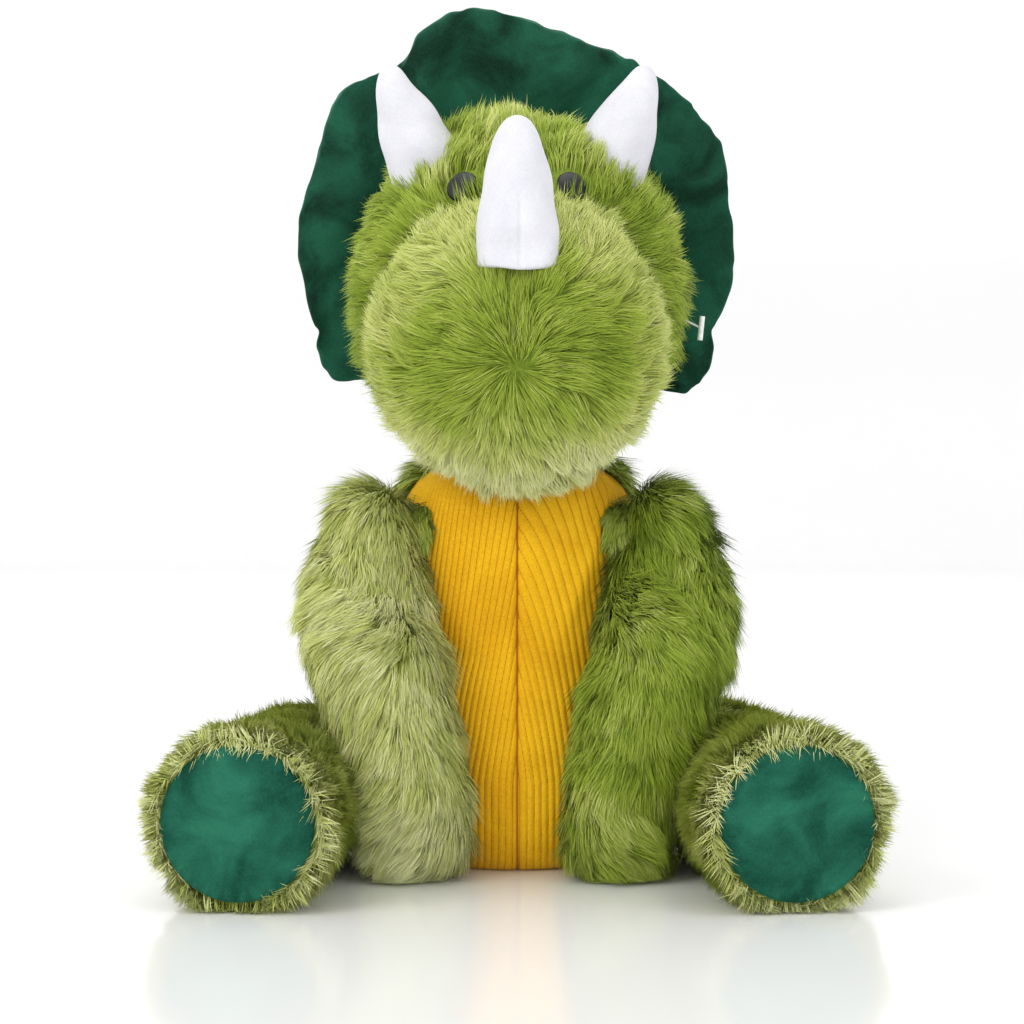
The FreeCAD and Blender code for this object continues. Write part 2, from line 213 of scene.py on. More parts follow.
def newGroup(name, inputs, outputs):
    group = bpy.data.node_groups.new(name, "ShaderNodeTree")
    kinds = {"float": "NodeSocketFloat", "colour": "NodeSocketColor", "vector": "NodeSocketVector"}
    for key, kind, value in inputs:
        socket = group.interface.new_socket(key, in_out="INPUT", socket_type=kinds[kind])
        if value is not None:
            socket.default_value = value
    for key, kind in outputs:
        group.interface.new_socket(key, in_out="OUTPUT", socket_type=kinds[kind])
    inside = group.nodes.new("NodeGroupInput")
    outside = group.nodes.new("NodeGroupOutput")
    return group, inside, outside


def placeGroup(tree, group, values):
    return addNode(tree, "ShaderNodeGroup", values, node_tree=group)


def buildNapGroup():
    # short pile: patches brushed light or dark, and fine fibres
    group, inside, outside = newGroup(
        "pileNap",
        [
            ("Vector", "vector", None),
            ("Dark", "colour", (0.1, 0.1, 0.1, 1)),
            ("Light", "colour", (0.8, 0.8, 0.8, 1)),
            ("Patch Scale", "float", 40.0),
            ("Fibre Scale", "float", 1200.0),
            ("Fibre Share", "float", 0.4),
        ],
        [("Color", "colour"), ("Height", "float")],
    )
    i = inside.outputs
    patch = addNode(group, "ShaderNodeTexNoise", {
        "Vector": i["Vector"], "Scale": i["Patch Scale"],
        "Detail": 4.0, "Roughness": 0.55, "Distortion": 0.6})
    fibre = addNode(group, "ShaderNodeTexNoise", {
        "Vector": i["Vector"], "Scale": i["Fibre Scale"], "Detail": 2.0, "Roughness": 0.6})
    patchMask = addNode(group, "ShaderNodeMapRange", {
        "Value": patch.outputs["Fac"], "From Min": 0.38, "From Max": 0.62})
    fibreMask = addNode(group, "ShaderNodeMapRange", {
        "Value": fibre.outputs["Fac"], "From Min": 0.3, "From Max": 0.7})
    share = addNode(group, "ShaderNodeMix", {
        0: i["Fibre Share"], 2: patchMask.outputs[0], 3: fibreMask.outputs[0]}, data_type="FLOAT")
    colour = addNode(group, "ShaderNodeMix", {
        0: share.outputs[0], 6: i["Dark"], 7: i["Light"]}, data_type="RGBA")
    group.links.new(colour.outputs[2], outside.inputs["Color"])
    group.links.new(fibre.outputs["Fac"], outside.inputs["Height"])
    return group


napGroup = buildNapGroup()


def napMaterial(name, dark, light, look):
    material, tree, shader = newMaterial(name)
    where = addNode(tree, "ShaderNodeTexCoord").outputs["Object"]
    nap = placeGroup(tree, napGroup, {
        "Vector": where, "Dark": tint(*dark), "Light": tint(*light), "Patch Scale": look["patch"],
        "Fibre Scale": look["fibre"], "Fibre Share": look["share"]})
    tree.links.new(nap.outputs["Color"], shader.inputs["Base Color"])
    bump = addNode(tree, "ShaderNodeBump", {
        "Height": nap.outputs["Height"], "Strength": look["bump"], "Distance": look["deep"] * mm})
    tree.links.new(bump.outputs["Normal"], shader.inputs["Normal"])
    shader.inputs["Roughness"].default_value = look["rough"]
    shader.inputs["Sheen Weight"].default_value = look["sheen"]
    shader.inputs["Sheen Roughness"].default_value = look["sheenRough"]
    shader.inputs["Sheen Tint"].default_value = tint(*look["sheenTint"])
    shader.inputs["Specular IOR Level"].default_value = look["shine"]
    return material


pilePaint = {
    "roots": [
        (0.0, tint(58, 78, 2)), (0.35, tint(112, 134, 22)),
        (0.7, tint(160, 172, 66)), (1.0, tint(190, 198, 112))],
    "tips": [
        (0.0, tint(116, 142, 26)), (0.35, tint(166, 186, 66)),
        (0.7, tint(212, 218, 132)), (1.0, tint(238, 240, 190))],
    "rough": 0.62,
    "sheen": 0.12,
    "sheenRough": 0.4,
    "sheenTint": (226, 236, 176),
    "shine": 0.2,
}


def makePileMaterial():
    material, tree, shader = newMaterial("plushPile")
    tone = addNode(tree, "ShaderNodeAttribute", attribute_name="tone").outputs["Fac"]
    along = addNode(tree, "ShaderNodeAttribute", attribute_name="along").outputs["Fac"]
    roots = addRamp(tree, tone, pilePaint["roots"])
    tips = addRamp(tree, tone, pilePaint["tips"])
    mix = addNode(tree, "ShaderNodeMix", {0: along, 6: roots, 7: tips}, data_type="RGBA")
    tree.links.new(mix.outputs[2], shader.inputs["Base Color"])
    shader.inputs["Roughness"].default_value = pilePaint["rough"]
    shader.inputs["Sheen Weight"].default_value = pilePaint["sheen"]
    shader.inputs["Sheen Roughness"].default_value = pilePaint["sheenRough"]
    shader.inputs["Sheen Tint"].default_value = tint(*pilePaint["sheenTint"])
    shader.inputs["Specular IOR Level"].default_value = pilePaint["shine"]
    return material


pileMaterial = makePileMaterial()
backing = napMaterial("plushBacking", (96, 116, 30), (136, 156, 62), {
    "patch": 60.0, "fibre": 900.0, "share": 0.6, "bump": 0.5, "deep": 0.6, "rough": 0.95,
    "sheen": 0.1, "sheenRough": 0.5, "sheenTint": (200, 214, 150), "shine": 0.1})


def growPile(name, skin, look, comb, body, toneOf=None, keep=None):
    # a coat of flat tapered strands over a skin, combed along comb(points, normals)
    mesh = skin.data
    co, normals, tri = coords(mesh), vertexNormals(mesh), triangles(mesh)
    corner = co[tri]
    area = np.linalg.norm(np.cross(corner[:, 1] - corner[:, 0], corner[:, 2] - corner[:, 0]), axis=1) / 2
    middle = corner.mean(axis=1)
    if keep is not None:
        area = area * keep(middle, unit(normals[tri].mean(axis=1)))
    rng = np.random.default_rng(look["seed"])
    count = int(min(look["most"], area.sum() / mm ** 2 * look["perMm2"]))
    pick = rng.choice(len(tri), count, p=area / area.sum())
    a, b = rng.random(count), rng.random(count)
    flip = a + b > 1
    a, b = np.where(flip, 1 - a, a), np.where(flip, 1 - b, b)
    weights = np.stack([1 - a - b, a, b], axis=1)[:, :, None]
    root = (co[tri[pick]] * weights).sum(axis=1)
    up = unit((normals[tri[pick]] * weights).sum(axis=1))

    # each strand joins the nearest of a few lock centres
    locks = max(8, count // look["perLock"])
    tree = kdtree.KDTree(locks)
    for k in range(locks):
        tree.insert(root[k], k)
    tree.balance()
    lock = np.array([tree.find(p)[1] for p in root])
    lockTurn = rng.normal(size=locks)[lock]
    lockLean = rng.normal(size=locks)[lock]
    lockTone = rng.normal(size=locks)[lock]
    lockLength = rng.normal(size=locks)[lock]

    flow = comb(root, up)
    flow = unit(flow - up * (flow * up).sum(axis=1, keepdims=True))
    turn = look["swirl"] * ripple(root, look["swirlSize"] * mm, look["seed"] + 1)
    turn = turn + look["lockTurn"] * lockTurn + look["stray"] * rng.normal(size=count)
    flow = flow * np.cos(turn)[:, None] + np.cross(up, flow) * np.sin(turn)[:, None]
    lift = look["lift"] * ripple(root, look["swirlSize"] * 0.7 * mm, look["seed"] + 2)
    lift = lift + look["lockLift"] * lockLean + 0.12 * rng.normal(size=count)
    length = look["length"] * mm * (1 + 0.14 * lockLength + 0.12 * rng.normal(size=count)).clip(0.45, 1.5)

    steps = 2
    points = [root - up * 0.4 * mm]
    heading = []
    for k in range(steps):
        lean = look["leanRoot"] + (look["leanTip"] - look["leanRoot"]) * k / (steps - 1) - lift
        lean = np.clip(lean, 0.05, 1.62)[:, None]
        way = up * np.cos(lean) + flow * np.sin(lean)
        way[:, 2] -= look["droop"] * (k + 1) / steps
        way = unit(way)
        heading.append(way)
        points.append(points[-1] + way * (length / steps)[:, None])
    # strands of a lock draw together towards their tips
    pull = (root[:locks][lock] - root) * look["gather"]
    for k in range(1, steps + 1):
        points[k] = points[k] + pull * (k / steps) ** 1.5
        points[k][:, 2] = np.maximum(points[k][:, 2], (0.25 + 0.3 * k) * mm)
    # blades lie flat to the coat, rolled a little at random
    side = unit(np.cross(heading[1], up))
    roll = rng.normal(size=count)[:, None] * look["roll"]
    side = unit(side * np.cos(roll) + np.cross(heading[1], side) * np.sin(roll))
    face = np.cross(side, heading[1])
    wrong = (face * up).sum(axis=1) < 0
    side[wrong] *= -1
    width = look["width"] * mm * (0.75 + 0.5 * rng.random(count))[:, None]
    rows = []
    for k in range(steps):
        rows += [points[k] - side * width / 2, points[k] + side * width / 2]
    rows.append(points[steps])
    verts = np.stack(rows, axis=1)  # count x 5 x 3

    tone = look["tone"] + look["toneLock"] * lockTone + look["toneStray"] * rng.normal(size=count)
    tone = tone + look["tonePatch"] * ripple(root, look["patchSize"] * mm, look["seed"] + 3)
    if toneOf is not None:
        tone = tone + toneOf(root, up)
    tone = tone.clip(0.03, 0.97)

    # light falls on the coat as a whole, so normals lean to the skin's
    shade = []
    for k, way in enumerate((heading[0], heading[0], heading[1], heading[1], heading[1])):
        across = unit(up - way * (up * way).sum(axis=1, keepdims=True) * 0.9)
        bow = 0.25 if k % 2 else -0.25
        shade.append(unit(up * look["soft"] + across * (1 - look["soft"]) + side * bow))
    shade = np.stack(shade, axis=1)

    base = np.arange(count)[:, None] * 5
    loops = base + np.array([0, 1, 3, 2, 2, 3, 4])
    starts = (np.arange(count)[:, None] * 7 + np.array([0, 4])).ravel()
    pile = bpy.data.meshes.new(name)
    pile.vertices.add(count * 5)
    pile.vertices.foreach_set("co", verts.ravel())
    pile.loops.add(count * 7)
    pile.loops.foreach_set("vertex_index", loops.ravel())
    pile.polygons.add(count * 2)
    pile.polygons.foreach_set("loop_start", starts)
    pile.update(calc_edges=True)
    alongRow = np.tile([0.0, 0.0, 0.55, 0.55, 1.0], count)
    alongRow = (alongRow + np.repeat(rng.normal(size=count) * 0.05, 5)).clip(0, 1)
    pile.attributes.new("tone", "FLOAT", "POINT").data.foreach_set("value", np.repeat(tone, 5))
    pile.attributes.new("along", "FLOAT", "POINT").data.foreach_set("value", alongRow)
    # the map lays every strand at its own tone, so one small picture holds the whole coat
    edge = np.tile([-1.0, 1.0, -1.0, 1.0, 0.0], count) * 0.004
    uv = np.stack([np.repeat(tone, 5) + edge, alongRow * 0.96 + 0.02], axis=1)[loops.ravel()]
    pile.uv_layers.new(name="OFBake").data.foreach_set("uv", uv.ravel())
    pile.polygons.foreach_set("use_smooth", [True] * (count * 2))
    pile.normals_split_custom_set_from_vertices(shade.reshape(-1, 3))
    piece = addObject(name, pile, smooth=False)
    finishPiece(piece, body, pileMaterial)
    print("pile", name, count, "strands")


pileLook = {
    "perMm2": 5.8, "most": 65000, "length": 11.5, "width": 0.3, "seed": 11, "perLock": 70,
    "leanRoot": 0.8, "leanTip": 1.34, "droop": 0.1, "gather": 0.36, "roll": 0.5, "soft": 0.68,
    "swirl": 0.3, "swirlSize": 36.0, "lockTurn": 0.16, "stray": 0.12, "lift": 0.12, "lockLift": 0.1,
    "tone": 0.45, "toneLock": 0.06, "toneStray": 0.1, "tonePatch": 0.08, "patchSize": 30.0,
}


torsoLook = {
    "wale": 2.31,        # rib to rib
    "waleDepth": 0.6,
    "columns": 420,
    "rows": 150,
    "halfAngle": 88.0,
    "seamDepth": 1.3,
    "seamWidth": 1.3,
    "leanLeft": 0.16,    # how far the ribs run sideways as they go up
    "leanRight": -0.21,
    "lumpDepth": 0.9,
    "lumpSize": 60,
    "waistDepth": 1.4,
    "waistHeight": 0.045,  # this and the next two are in metres
    "creaseHeight": 0.072,
    "pleatAside": 0.016,
    "creaseDepth": 1.2,
    "pleatDepth": 1.3,
}


def torsoProfile(skin):
    # points up the front of the torso, evenly spaced along its outline
    tree = BVHTree.FromObject(skin, bpy.context.evaluated_depsgraph_get())
    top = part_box("back_panel")[1].z
    start = Vector((0, 0, top / 2))
    outline = []
    for angle in np.linspace(-math.radians(64), math.radians(72), 400):
        hit = tree.ray_cast(start, Vector((math.cos(angle), 0, math.sin(angle))))[0]
        if hit:
            outline.append((hit.x, hit.z))
    outline = np.array(outline)
    run = np.concatenate([[0], np.cumsum(np.linalg.norm(np.diff(outline, axis=0), axis=1))])
    even = np.linspace(0, run[-1], torsoLook["rows"])
    return np.stack([np.interp(even, run, outline[:, 0]), np.interp(even, run, outline[:, 1])], axis=1)


def makeCordMaterial():
    material, tree, shader = newMaterial("ribbedCloth")
    where = addNode(tree, "ShaderNodeTexCoord").outputs["Object"]
    nap = placeGroup(tree, napGroup, {
        "Vector": where, "Dark": tint(210, 150, 4), "Light": tint(244, 192, 26), "Patch Scale": 34.0,
        "Fibre Scale": 1500.0, "Fibre Share": 0.55})
    rib = addNode(tree, "ShaderNodeAttribute", attribute_name="rib").outputs["Fac"]
    # painted shade: the grooves between the ribs are coloured a darker orange
    groove = addNode(tree, "ShaderNodeMapRange", {"Value": rib, "From Min": 0.0, "From Max": 0.42}).outputs[0]
    colour = addNode(tree, "ShaderNodeMix", {
        0: groove, 6: tint(158, 98, 6), 7: nap.outputs["Color"]}, data_type="RGBA")
    tree.links.new(colour.outputs[2], shader.inputs["Base Color"])
    bump = addNode(tree, "ShaderNodeBump", {
        "Height": nap.outputs["Height"], "Strength": 0.5, "Distance": 0.25 * mm})
    tree.links.new(bump.outputs["Normal"], shader.inputs["Normal"])
    shader.inputs["Roughness"].default_value = 0.85
    shader.inputs["Sheen Weight"].default_value = 0.18
    shader.inputs["Sheen Tint"].default_value = tint(255, 220, 120)
    shader.inputs["Specular IOR Level"].default_value = 0.2
    return material


def makeTorso():
    front = ["belly_panel_left", "belly_panel_right"]
    rest = ["back_panel", "torso_stuffing", "seat_panel"]
    skin = skinOf("torsoSkin", front + rest, 3.0, 3, 1)
    profile = torsoProfile(skin)
    half = math.radians(torsoLook["halfAngle"])
    angle = np.linspace(-half, half, torsoLook["columns"])
    radius, height = profile[:, 0][:, None], profile[:, 1][:, None]
    across = radius * angle[None, :]            # distance from the seam over the cloth
    spot = np.stack([radius * np.sin(angle), -radius * np.cos(angle), height + 0 * angle], axis=-1)
    flat = spot.reshape(-1, 3)
    # broad lumps, soft waves and a level crease near the waist on one side, and a slanted pleat on the other
    look = torsoLook
    lumps = look["lumpDepth"] * ripple(flat * [1.0, 1.0, 0.7], look["lumpSize"] * mm, 5).reshape(across.shape)
    waist = np.exp(-((height - look["waistHeight"]) / 0.008) ** 2) * np.sin(across / (11 * mm)) * (across < 0)
    crease = np.exp(-((height - look["creaseHeight"]) / 0.006) ** 2)
    crease = crease * (across < 0) * ease(-across, 0.002, 0.02)
    pleat = np.exp(-((across - look["pleatAside"] - 0.02 * (height - 0.08) / 0.05) / 0.0035) ** 2)
    pleat = pleat * ease(height, 0.07, 0.1)
    puff = lumps + look["waistDepth"] * waist - look["creaseDepth"] * crease + look["pleatDepth"] * pleat
    seam = -look["seamDepth"] * np.exp(-(across / (look["seamWidth"] * mm)) ** 2)
    # ribs lean into the seam above, and run straight down below
    up = np.clip((height - 0.03), 0, None)
    right = look["leanRight"] * np.exp(-np.abs(across) / 0.045)
    lean = np.where(across < 0, look["leanLeft"], right)
    ribbed = across - lean * up ** 1.25 * 2.2 + lumps * 0.8 * mm
    phase = ribbed / (look["wale"] * mm)
    rib = np.abs(np.cos(math.pi * phase)) ** 0.8
    edge = ease(np.abs(across), 0.1 * mm, 0.8 * mm)
    out = (puff + seam + look["waleDepth"] * (rib * edge - 0.7)) * mm
    outward = np.stack([np.sin(angle) + 0 * height, -np.cos(angle) + 0 * height, 0 * across], axis=-1)
    mesh = gridMesh("bellyCloth", spot + outward * out[..., None])
    mesh.attributes.new("rib", "FLOAT", "POINT").data.foreach_set("value", (rib * edge).ravel())
    belly = addObject("bellyCloth", mesh)
    finishPiece(belly, "torso", makeCordMaterial(), front)
    flatWidth = float(across[:, -1].max() - across[:, 0].min())
    run = float(np.linalg.norm(np.diff(profile, axis=0), axis=1).sum())
    print("belly cloth", round(flatWidth, 3), "x", round(run, 3), "m")

    # the skin under it pulls in a little at the front, so that only the ribbed cloth shows there
    reshape(skin, lambda p, n: p - n * (2.2 * mm * ease(-p[:, 1], -0.004, 0.004))[:, None])
    finishPiece(skin, "torso", backing, rest)

    coat = dict(pileLook, seed=21, perMm2=3.6, tone=0.42, width=0.42)
    growPile(
        "backPile", skin, coat, lambda p, n: np.tile([0.0, 0.15, -1.0], (len(p), 1)), "torso",
        keep=lambda p, n: (p[:, 1] > -0.001) & (n[:, 2] > -0.8) & (n[:, 2] < 0.93))


print("torso")
makeTorso()


def makeSeams():
    neck = skinOf("neckSkin", ["neck_plug"], 1.5, 2)
    reshape(neck, lambda p, n: p + n * (0.5 * mm * np.sin(18 * np.arctan2(p[:, 1], p[:, 0])))[:, None])
    finishPiece(neck, "neck", backing, ["neck_plug"])
    parts = ["left_shoulder_seam", "right_shoulder_seam", "left_hip_seam", "right_hip_seam", "tail_seam"]
    seams = skinOf("limbSeams", parts, 0.9, 2)
    reshape(seams, lambda p, n: p - n * (mm * (1.2 + 0.25 * ripple(p, 3 * mm, 8)))[:, None])
    finishPiece(seams, "torso", backing, parts)
    look = dict(pileLook, seed=9, length=6.0, leanRoot=0.9, leanTip=1.3)
    growPile("seamPile", seams, look, lambda p, n: np.tile([0.0, -0.3, -1.0], (len(p), 1)), "torso")


print("seams")
makeSeams()


headLook = {
    "pinchDrop": 5.0,   # where the snout's panels meet, below its middle
    "pinchDepth": 3.0,
    "seamDepth": 2.4,
    "eyeClear": 7.6,
}


def snoutShape():
    # middle and half sizes of the egg that the snout's three panels make
    left, right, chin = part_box("muzzle_left"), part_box("muzzle_right"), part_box("chin")
    wide = (right[1].x - left[0].x) / 2
    deep = 0.89 * wide
    front = min(left[0].y, chin[0].y)
    middle = np.array([0.0, front + deep, (chin[0].z + right[1].z) / 2])
    return middle, np.array([wide, deep, (right[1].z - chin[0].z) / 2])


def makeHead():
    middle = widest("head_stuffing")
    snoutMiddle, snoutSize = snoutShape()
    pinch = snoutMiddle - np.array([0, snoutSize[1], headLook["pinchDrop"] * mm])
    head = skinOf("headSkin", ["head_fur", "head_stuffing", "left_eye", "right_eye"], 2.5, 4)
    reshape(head, lambda p, n: p + n * (0.8 * mm * ripple(p, 45 * mm, 31))[:, None])
    finishPiece(head, "head", backing, ["head_fur", "head_stuffing"])
    muzzle = skinOf("muzzleSkin", ["muzzle_left", "muzzle_right", "chin", "muzzle_stuffing"], 2.0, 4)

    def shapeMuzzle(p, n):
        # a groove down the middle from the horn to the pinch, a dimple where it ends, and a dent in one cheek
        off = p - pinch
        groove = np.exp(-(p[:, 0] / 0.004) ** 2) * ease(p[:, 2], pinch[2] - 0.004, pinch[2] + 0.006)
        groove *= ease(-p[:, 1], 0.06, 0.075)
        dip = np.exp(-(np.linalg.norm(off, axis=1) / 0.009) ** 2)
        lump = 0.9 * ripple(p, 38 * mm, 33)
        dent = np.exp(-(((p[:, 0] - 0.036) / 0.005) ** 2 + ((p[:, 2] - 0.172) / 0.011) ** 2))
        depth = lump - headLook["seamDepth"] * groove - headLook["pinchDepth"] * dip - 1.6 * dent
        return p + n * (depth * mm)[:, None]

    reshape(muzzle, shapeMuzzle)
    parts = ["muzzle_left", "muzzle_right", "chin", "muzzle_stuffing"]
    finishPiece(muzzle, "head", backing, parts)

    eyes = [np.array((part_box(e)[0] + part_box(e)[1]) / 2) for e in ("left_eye", "right_eye")]
    nose = np.array((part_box("nose_horn")[0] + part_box("nose_horn")[1]) / 2)
    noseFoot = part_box("nose_horn")[0].z + 0.004

    def outsideMuzzle(p, grow=1.0):
        q = (p - snoutMiddle) / (snoutSize * grow)
        return (q ** 2).sum(axis=1) > 1

    def keepHead(p, n):
        ok = outsideMuzzle(p, 0.98) & (p[:, 2] > middle[2] - 0.052)
        for eye in eyes:
            ok &= np.linalg.norm((p - eye) * [1, 1, 1.1], axis=1) > headLook["eyeClear"] * mm
        return ok.astype(float)

    def combHead(p, n):
        out = p - np.array([0, snoutMiddle[1], snoutMiddle[2]])
        return unit(out * [1, 0, 1]) + np.array([0, 0.55, -0.2])

    def headLightAndShade(p, n):
        # painted light and shade: the crown is painted brighter as if lit from above, and painted shade darkens
        # the fold beside the snout and the sides of the head
        foldShade = np.exp(-((((p - snoutMiddle) / snoutSize) ** 2).sum(axis=1) - 1.0) / 0.35)
        side = ease(np.abs(p[:, 0]), 0.03, 0.05)
        return 0.14 * ease(p[:, 2], 0.22, 0.245) - 0.18 * foldShade - 0.12 * side

    look = dict(
        pileLook, seed=41, perMm2=4.4, length=10.0, leanRoot=0.85, leanTip=1.3, swirl=0.5, gather=0.5,
        tone=0.36, toneLock=0.1)
    growPile("headPile", head, look, combHead, "head", headLightAndShade, keepHead)

    def combMuzzle(p, n):
        return p - pinch

    def muzzleToneAndRimLight(p, n):
        # painted light: the pile is paler away from the pinch and towards the bottom of the snout, a painted
        # glow at its rim; it is also darker over the cheeks
        far = np.linalg.norm((p - pinch) * [1, 0, 1], axis=1)
        low = ease(pinch[2] - p[:, 2], 0.008, 0.03)
        cheek = np.exp(-((np.abs(p[:, 0]) - 0.022) / 0.014) ** 2 - ((p[:, 2] - 0.176) / 0.022) ** 2)
        return 0.26 * ease(far, 0.02, 0.045) + 0.34 * low - 0.18 * cheek

    def keepMuzzle(p, n):
        under = (np.linalg.norm((p - nose)[:, :2], axis=1) < 0.0085) & (p[:, 2] > noseFoot)
        return ((p[:, 1] < -0.012) & ~under).astype(float)

    look = dict(
        pileLook, seed=51, perMm2=6.4, length=9.5, leanRoot=0.9, leanTip=1.4, swirl=0.3, gather=0.4,
        droop=0.05, tone=0.42, width=0.27, lockTurn=0.2, toneLock=0.05, tonePatch=0.05, lift=0.08, lockLift=0.08)
    growPile("muzzlePile", muzzle, look, combMuzzle, "head", muzzleToneAndRimLight, keepMuzzle)


print("head")
makeHead()


eyeLook = {"across": 5.2, "up": 5.6, "proud": 2.2, "dome": 1.9, "threads": 15}


def makeEyes():
    material, tree, shader = newMaterial("satinStitch")
    where = addNode(tree, "ShaderNodeTexCoord").outputs["Object"]
    grain = addNode(tree, "ShaderNodeTexNoise", {"Vector": where, "Scale": 1800.0, "Detail": 3.0})
    colour = addRamp(tree, grain.outputs["Fac"], [(0.3, tint(11, 11, 12)), (0.7, tint(20, 20, 22))])
    tree.links.new(colour, shader.inputs["Base Color"])
    shader.inputs["Roughness"].default_value = 0.36
    for name in ("left_eye", "right_eye"):
        low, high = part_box(name)
        centre = (low + high) / 2
        middle = Vector(widest("head_stuffing"))
        normal = Vector((centre.x, centre.y, (centre.z - middle.z) * 0.86)).normalized()
        side = Vector((0, 0, 1)).cross(normal).normalized()
        rise = normal.cross(side)
        rings, spokes = 26, 96
        points = np.zeros((rings, spokes, 3))
        for r in range(rings):
            reach = r / (rings - 1)
            for s in range(spokes):
                turn = 2 * math.pi * s / spokes
                x, y = reach * math.cos(turn), reach * math.sin(turn)
                dome = math.sqrt(max(0.0, 1 - reach ** 2))
                ridge = 0.14 * abs(math.sin(math.pi * eyeLook["threads"] * (x + 0.15 * y))) * dome
                p = centre + side * (x * eyeLook["across"] * mm) + rise * (y * eyeLook["up"] * mm)
                points[r, s] = p + normal * ((eyeLook["proud"] + eyeLook["dome"] * dome + ridge) * mm)
        piece = addObject(name.replace("_e", "E") + "Stitch", gridMesh(name, points, True))
        finishPiece(piece, "head", material, [name])


print("eyes")
makeEyes()


hornLook = {"patch": 30.0, "fibre": 1400.0, "share": 0.35, "bump": 0.35, "deep": 0.2, "rough": 0.9,
            "sheen": 0.35, "sheenRough": 0.5, "sheenTint": (255, 255, 255), "shine": 0.15}


def makeHorns():
    material = napMaterial("hornCloth", (204, 204, 212), (226, 226, 232), hornLook)
    for name in ("nose_horn", "left_brow_horn", "right_brow_horn"):
        piece = skinOf(name.replace("_", "") + "Cloth", [name, name + "_stuffing"], 1.0, 5, 1)
        low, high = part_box(name)
        cut = coords(nodes[name].data)
        foot = cut[cut[:, 2] < low.z + 0.006].mean(axis=0)
        tip = cut[cut[:, 2] > high.z - 0.002].mean(axis=0)
        axis, length = axisOf(foot, tip), np.linalg.norm(tip - foot)
        isNose = name == "nose_horn"

        def shapeHorn(p, n):
            # soft dents, slimmer towards the tip, and a seam up the front of the nose horn
            rise = (p - foot) @ axis / length
            off = p - foot - ((p - foot) @ axis)[:, None] * axis
            slim = 1 - (0.02 if isNose else 0.16) * ease(rise, 0.45, 1.0)
            slim = slim * (1.06 if isNose else 1 + 0.12 * ease(0.5 - rise, 0, 0.4))
            seam = np.exp(-((p[:, 0] - foot[0] - 0.001) / 0.0007) ** 2) * (n[:, 1] < -0.5)
            seam = isNose * seam * ease(0.5 - rise, 0.0, 0.2)
            swell = 0.3 * ripple(p, 16 * mm, 61)
            moved = p + off * (slim - 1)[:, None] + n * ((swell - 0.5 * seam) * mm)[:, None]
            if isNose:
                # its foot tucks back into the pile of the snout
                moved[:, 1] += 6 * mm * ease(0.24 - rise, 0, 0.24) * ease(-off[:, 1], 0, 0.012)
            return moved

        reshape(piece, shapeHorn)
        finishPiece(piece, "head", material, [name, name + "_stuffing"])


print("horns")
makeHorns()


frillLook = {
    "voxel": 3.2,
    "press": 3.0,
    "frames": 16,
    "cap": 7.0,
    # the lobes of the rim: degrees round from the top, and reach from the head's middle in mm
    "lobes": [
        (-140, 44), (-128, 48), (-121, 62), (-117, 70), (-111, 71.5), (-99, 70.5), (-88, 72),
        (-78, 76), (-73, 77.5), (-63, 79.5), (-54, 83.5), (-49, 87), (-42, 90.5), (-37, 89),
        (-28, 87.5), (-23, 91), (-19, 94), (-13, 96.5), (-8, 96), (-4, 94), (6, 89),
        (16, 86.5), (27, 87.5), (38, 86), (44, 87), (49, 86), (56, 86), (64, 79.5),
        (78, 74), (89, 72.5), (100, 69.5), (111, 71), (118, 71.5), (123, 68), (130, 52),
        (140, 44)],
}
velourLook = {"patch": 46.0, "fibre": 1500.0, "share": 0.24, "bump": 0.5, "deep": 0.3, "rough": 0.9,
              "sheen": 0.45, "sheenRough": 0.35, "sheenTint": (120, 200, 165), "shine": 0.15}
velour = napMaterial("darkVelour", (4, 36, 24), (30, 88, 66), velourLook)
soleVelour = napMaterial("soleVelour", (4, 60, 46), (40, 112, 88), dict(velourLook, patch=38.0))


def inflate(piece, look, pinned):
    # blows the closed cloth up a little, so that it wrinkles as sewn cloth does
    mesh = piece.data
    before = coords(mesh)
    hold = piece.vertex_groups.new(name="sewn")
    for k in np.nonzero(pinned(before))[0]:
        hold.add([int(k)], 1.0, "REPLACE")
    cloth = piece.modifiers.new("cloth", "CLOTH")
    cloth.settings.quality = 6
    cloth.settings.mass = 0.2
    cloth.settings.tension_stiffness = 12
    cloth.settings.compression_stiffness = 12
    cloth.settings.bending_stiffness = 0.4
    cloth.settings.use_pressure = True
    cloth.settings.uniform_pressure_force = look["press"]
    cloth.settings.shrink_min = -0.03
    cloth.settings.vertex_group_mass = "sewn"
    cloth.settings.effector_weights.gravity = 0
    cloth.collision_settings.use_self_collision = False
    cloth.point_cache.frame_start, cloth.point_cache.frame_end = 1, look["frames"]
    scene = bpy.context.scene
    for number in range(1, look["frames"] + 1):
        scene.frame_set(number)
    bake(piece)
    after = coords(piece.data)
    move = after - before
    far = np.linalg.norm(move, axis=1, keepdims=True)
    cap = look["cap"] * mm
    setCoords(piece.data, before + move * np.minimum(1, cap / np.maximum(far, 1e-9)))
    scene.frame_set(1)


